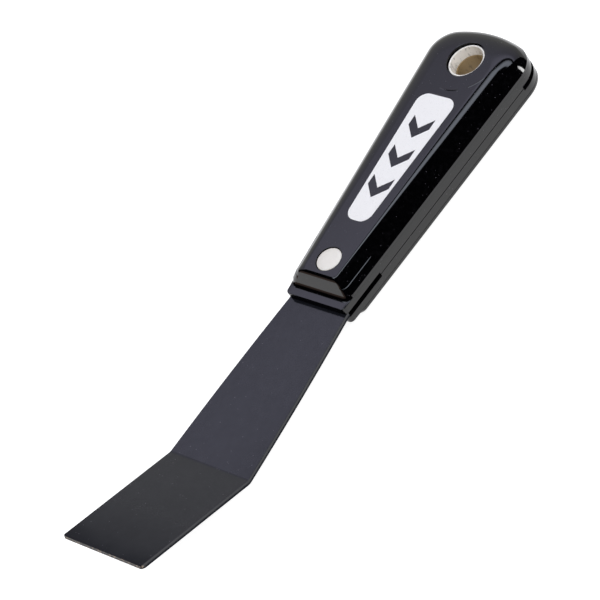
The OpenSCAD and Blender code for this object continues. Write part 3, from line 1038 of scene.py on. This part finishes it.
def sheared_steel(finish):
    """The strip's cut sides: coated above, torn and dark below, with bare specks at the edge"""
    def paint(g):
        here = g.place()
        level = g.node("ShaderNodeAttribute", {"attribute_name": "level"}, out="Fac")
        tear = g.noise(g.place(scale=(1, 1, 0.3)), 1800.0, 3.0, 0.6)
        whole = g.ramp(level * 0.5 + 0.5 + tear * 0.3 - 0.15, [(0.35, 0.0), (0.6, 1.0)])
        x = g.node("ShaderNodeSeparateXYZ", {}, {"Vector": here}, out="X")
        at_edge = x < BLADE_LOW.x + 1.2 * MM
        chips = g.noise(here, 1300.0, 3.0, 0.6)
        bare = at_edge * g.ramp(chips, [(0.46, 0.0), (0.62, 1.0)])
        return {
            "Base Color": g.mix(bare, finish.steel, finish.bare),
            "Roughness": 0.5,
            "IOR": 1.08,
            "Coat Weight": whole * 0.8,
            "Coat Roughness": 0.2,
            "Coat IOR": 1.5,
            "Normal": g.bump(tear, 0.01 * MM, 0.6),
        }
    return material("sheared_steel", paint)


def gloss_plastic(finish):
    """Polished black moulding with faint dust, hairline scuffs, a slight waviness and, in front
    of the hanging hole, the faint arc of a moulding mark"""
    def paint(g):
        here = g.place()
        wave = g.noise(here, 130.0, 2.0, 0.5)
        scuff = g.noise(g.place(scale=(0.12, 1, 1)), 2600.0, 2.0, 0.6)
        specks = g.node("ShaderNodeTexVoronoi", {"feature": "F1"}, {"Vector": here, "Scale": 1100.0})
        chance = g.noise(here, 1400.0, 1.0, 0.5)
        speck = (specks < 0.105) * (chance > 0.54)
        haze = g.noise(here, 700.0, 3.0, 0.7)
        dusty = g.ramp(haze, [(0.5, 0.0), (0.8, 0.35)])
        colour = g.mix(dusty * 0.1, finish.plastic, finish.dust)
        waves = g.bump(wave, 0.012 * MM, 0.5)
        return {
            "Base Color": g.mix(speck, colour, finish.dust),
            "Roughness": finish.plastic_gloss + scuff * 0.04 + speck * 0.4,
            "IOR": 1.5,
            "Normal": g.bump(moulding_mark(g), 0.03 * MM, 1.0, waves),
        }
    return material("gloss_plastic", paint)


def moulding_mark(g):
    """1 on a broken arc in front of the hanging hole, falling to 0 away from it"""
    away = g.place(offset=(-HANG_X, 0, 0), scale=(1, 1, 0))
    reach = g.node("ShaderNodeVectorMath", {"operation": "LENGTH"}, {0: away}, out="Value")
    towards = (-cos(MARK_TURN), -sin(MARK_TURN), 0)
    ahead = g.node(
        "ShaderNodeVectorMath", {"operation": "DOT_PRODUCT"}, {0: away, 1: towards}, out="Value",
    )
    off = g.node("ShaderNodeMath", {"operation": "ABSOLUTE"}, {0: reach - MARK_RADIUS})
    line = g.node("ShaderNodeMath", {"operation": "MAXIMUM"}, {0: 1 - off / MARK_WIDTH, 1: 0.0})
    wander = g.noise(g.place(), 260.0, 2.0, 0.5)
    return line * (ahead > MARK_RADIUS * 0.8) * (wander > 0.4)


def nickel(name, tone):
    """Tumbled nickel plate"""
    def paint(g):
        here = g.place()
        cloud = g.noise(here, 700.0, 4.0, 0.6)
        fine = g.noise(here, 7000.0, 2.0, 0.6)
        return {
            "Base Color": g.mix(cloud, [c * 0.95 for c in tone], [min(c * 1.04, 1) for c in tone]),
            "Metallic": 0.45,
            "Roughness": 0.34 + fine * 0.14,
            "Normal": g.bump(fine + cloud * 0.5, 0.003 * MM, 0.5),
        }
    return material(name, paint)


def worn_tube(name, tone, metallic):
    """Drawn tube with grey streaks round and along it"""
    def paint(g):
        streak = g.noise(g.place(scale=(1, 1, 0.2)), 1500.0, 4.0, 0.65)
        patch = g.noise(g.place(), 600.0, 3.0, 0.6)
        worn = g.ramp(streak * 0.5 + patch * 0.5, [(0.38, 1.0), (0.47, 0.0)])
        return {
            "Base Color": g.mix(worn * 0.8, tone, [c * 0.45 for c in tone]),
            "Metallic": metallic,
            "Roughness": 0.36 + streak * 0.2,
            "Normal": g.bump(streak + patch, 0.01 * MM, 0.6),
        }
    return material(name, paint)


def white_ink(finish):
    """Thin screen-printed ink with faint pinholes"""
    def paint(g):
        here = g.place()
        cloud = g.noise(here, 500.0, 3.0, 0.6)
        holes = g.noise(here, 5200.0, 1.0, 0.5)
        pin = holes > 0.73
        return {
            "Base Color": g.mix(pin, finish.ink, [c * 0.55 for c in finish.ink]),
            "Roughness": 0.32 + cloud * 0.12,
            "IOR": 1.45,
            "Normal": g.bump(cloud + holes * 0.4, 0.004 * MM, 0.5),
        }
    return material("white_ink", paint)


class SCRAPER_OT_print(Operator):
    """Ink the printed panel on the upper scale"""

    bl_idname = "scraper.print"
    bl_label = "Printed panel"

    def execute(self, context):
        panel = frame["nodes"]["label_print"]
        ink = white_ink(context.scene.scraper_finish)
        for slot in panel.material_slots:
            slot.material = ink
        return {"FINISHED"}


# ---------- Stage ----------

WHITE = (1.0, 1.0, 1.0)
BLACK = (0.0, 0.0, 0.0)
WALL_FOOT = (1.0, 1.0, 0.98)
WALL_TOP = (0.79, 0.78, 1.0)
STRIP_TINT = (0.80, 0.86, 1.0)
BROWN = (0.55, 0.38, 0.32)

# The cards stand round the tool; each has a span of turns and its foot's and top's height angles
CARD_AWAY = 2.0
WALL = {"span": radians(105), "low": 0.0, "high": radians(46.4)}
STRIP = {"span": radians(110), "low": radians(50), "high": radians(61)}
WINDOW = {"turn": radians(-46), "span": radians(9), "low": radians(12), "high": radians(32)}
BROWN_CARD = {"turn": radians(142), "span": radians(48), "low": 0.0, "high": radians(28)}
CARD_STEPS = 24

FILL_TOWARDS = Vector((-0.25, -0.5, 0.83))
FILL_AWAY = 2.4
FILL_SIZE = 2.6

# Where the rivet's middle is from the point that the camera looks at
RIVET_RIGHT = 11.733 * MM
RIVET_OVER = 7.083 * MM
SENSOR_WIDTH = 36.0
ROOM_SEEN = 0.96


def line_of_sight(stage):
    """The camera's own axes in the room: right, up and back"""
    a, e, r = stage.azimuth, stage.elevation, stage.roll
    back = Vector((sin(a) * cos(e), -cos(a) * cos(e), sin(e)))
    level = Vector((cos(a), sin(a), 0))
    tall = back.cross(level)
    up = tall * cos(r) + level * sin(r)
    right = up.cross(back)
    return right, up, back


class SCRAPER_OT_stage(Operator):
    """Set the floor, the lights and the camera"""

    bl_idname = "scraper.stage"
    bl_label = "Stage"

    def execute(self, context):
        stage = context.scene.scraper_stage
        add_floor(stage)
        add_lights(stage)
        add_camera(context.scene, stage)
        add_room(context.scene, stage)
        context.scene.view_settings.view_transform = "Standard"
        return {"FINISHED"}


def add_floor(stage):
    """A pale lit table, a hair under the tool"""
    bm = bmesh.new()
    bmesh.ops.create_circle(bm, cap_ends=True, segments=ROUND_STEPS, radius=stage.floor_size)
    mesh = bpy.data.meshes.new("floor")
    bm.to_mesh(mesh)
    bm.free()

    def paint(g):
        here = g.place()
        cloud = g.noise(here, 2.0, 2.0, 0.5)
        tone = stage.floor_tone
        return {
            "Base Color": g.mix(cloud, (tone * 0.99,) * 3, (tone,) * 3),
            "Roughness": 0.7,
            "Emission Color": rgba(WHITE),
            "Emission Strength": stage.floor_glow,
        }
    mesh.materials.append(material("floor_paper", paint))
    floor = bpy.data.objects.new("floor", mesh)
    bpy.context.scene.collection.objects.link(floor)
    floor.location.z = -0.02 * MM


def add_fill(stage):
    """A broad soft light over the camera, which reflections don't see"""
    lamp = bpy.data.lights.new("fill", "AREA")
    lamp.size = FILL_SIZE
    lamp.energy = stage.fill_power
    fill = bpy.data.objects.new("fill", lamp)
    bpy.context.scene.collection.objects.link(fill)
    direction = FILL_TOWARDS.normalized()
    fill.location = direction * FILL_AWAY
    fill.rotation_euler = direction.to_track_quat("Z", "Y").to_euler()
    fill.visible_glossy = False
    fill.visible_camera = False


def add_card(name, glow, turn, span, low, high):
    """A lit card curved round the tool, over a span of turns and between two height angles. The
    camera doesn't see it. glow(g, z) gives its colour, z running from its foot (0) to its top (1)."""
    bm = bmesh.new()
    ends = [
        bm.verts.new((CARD_AWAY * cos(angle), 0, CARD_AWAY * sin(angle))) for angle in (low, high)
    ]
    bmesh.ops.spin(
        bm, geom=ends + [bm.edges.new(ends)], cent=(0, 0, 0), axis=(0, 0, 1), angle=span,
        steps=CARD_STEPS,
    )
    swing = Matrix.Rotation(turn - span / 2, 3, "Z")
    bmesh.ops.rotate(bm, verts=bm.verts, cent=(0, 0, 0), matrix=swing)
    foot, top = CARD_AWAY * sin(low), CARD_AWAY * sin(high)
    mesh = bpy.data.meshes.new(name)
    bm.to_mesh(mesh)
    bm.free()

    def paint(g):
        z = g.node("ShaderNodeSeparateXYZ", {}, {"Vector": g.place()}, out="Z")
        return {
            "Base Color": rgba(BLACK),
            "Roughness": 1.0,
            "Emission Color": glow(g, (z - foot) / (top - foot)),
            "Emission Strength": 1.0,
        }
    mesh.materials.append(material(name, paint))
    card = bpy.data.objects.new(name, mesh)
    bpy.context.scene.collection.objects.link(card)
    card.visible_camera = False
    card.visible_shadow = False


def wall_glow(stage):
    """Brighter and bluer towards the wall's top"""
    def glow(g, z):
        tones = [(0.0, 0.38), (0.45, 0.38), (0.84, 0.48), (0.885, 0.58), (0.92, 0.78), (1.0, 1.0)]
        tone = g.ramp(z, tones)
        blue = g.ramp(z, [(0.3, 0.0), (0.88, 1.0)])
        cloud = g.noise(g.place(), 1.2, 2.0, 0.5)
        low, high = ([c * stage.wall_glow for c in tint] for tint in (WALL_FOOT, WALL_TOP))
        return g.mix(tone * (0.9 + cloud * 0.2), BLACK, g.mix(blue, low, high))
    return glow


def flat_glow(strength, tint):
    """The same all over but for a soft upper and lower rim"""
    def glow(g, z):
        tone = g.ramp(z, [(0.0, 0.5), (0.3, 1.0), (0.75, 1.0), (1.0, 0.5)])
        return g.mix(tone, BLACK, [c * strength for c in tint])
    return glow


def brown_glow(g, z):
    """Dim and brown, fading upwards"""
    tone = g.ramp(z, [(0.0, 1.0), (0.5, 0.7), (1.0, 0.25)])
    return g.mix(tone, BLACK, BROWN)


def add_lights(stage):
    """The overhead fill and the four cards that the gloss reflects"""
    add_fill(stage)
    add_card("lit_wall", wall_glow(stage), stage.wall_turn, **WALL)
    add_card("strip_light", flat_glow(stage.strip_glow, STRIP_TINT), stage.wall_turn, **STRIP)
    add_card("window_light", flat_glow(stage.window_glow, WHITE), **WINDOW)
    add_card("brown_card", brown_glow, **BROWN_CARD)


def add_camera(scene, stage):
    lens = bpy.data.cameras.new("camera")
    lens.sensor_width = SENSOR_WIDTH
    lens.lens = stage.lens
    lens.clip_start = 0.05
    lens.clip_end = 50.0
    camera = bpy.data.objects.new("camera", lens)
    scene.collection.objects.link(camera)
    right, up, back = line_of_sight(stage)
    axes = Matrix((right, up, back)).transposed()
    target = Vector((RIVET_X, 0, MID_Z)) - right * RIVET_RIGHT - up * RIVET_OVER
    camera.matrix_world = Matrix.Translation(target + back * stage.distance) @ axes.to_4x4()
    scene.camera = camera


def add_room(scene, stage):
    """A room that the camera sees as pale, and that reflections and shading see as dim"""
    world = bpy.data.worlds.new("room")
    world.use_nodes = True
    scene.world = world
    g = Graph(world.node_tree)
    seen = g.node("ShaderNodeLightPath", out="Is Camera Ray")
    tone = stage.room_tone
    strength = tone + seen * (ROOM_SEEN - tone)
    sky = g.node("ShaderNodeBackground", {}, {"Color": rgba(WHITE), "Strength": strength})
    g.node("ShaderNodeOutputWorld", {}, {"Surface": sky})


# ---------- Panel and registration ----------


class SCRAPER_PT_pieces(Panel):
    """Buttons that model each piece"""

    bl_label = "Bent floor scraper"
    bl_idname = "SCRAPER_PT_pieces"
    bl_space_type = "VIEW_3D"
    bl_region_type = "UI"
    bl_category = "Scraper"

    def draw(self, context):
        for operator in OPERATORS:
            self.layout.operator(operator.bl_idname)


SETTINGS = {
    "scraper_blade": ScraperBlade,
    "scraper_handle": ScraperHandle,
    "scraper_fittings": ScraperFittings,
    "scraper_finish": ScraperFinish,
    "scraper_stage": ScraperStage,
}
OPERATORS = (
    SCRAPER_OT_blade,
    SCRAPER_OT_scales,
    SCRAPER_OT_rivet,
    SCRAPER_OT_eyelet,
    SCRAPER_OT_print,
    SCRAPER_OT_stage,
)


def register():
    for kind in (*SETTINGS.values(), *OPERATORS, SCRAPER_PT_pieces):
        bpy.utils.register_class(kind)
    for name, kind in SETTINGS.items():
        setattr(bpy.types.Scene, name, PointerProperty(type=kind))


def unregister():
    for name in SETTINGS:
        delattr(bpy.types.Scene, name)
    for kind in (SCRAPER_PT_pieces, *reversed(OPERATORS), *reversed(SETTINGS.values())):
        bpy.utils.unregister_class(kind)


def main():
    register()
    bpy.ops.scraper.blade()
    bpy.ops.scraper.scales()
    bpy.ops.scraper.rivet()
    bpy.ops.scraper.eyelet()
    bpy.ops.scraper.print()
    bpy.ops.scraper.stage()


if __name__ == "__main__":
    main()
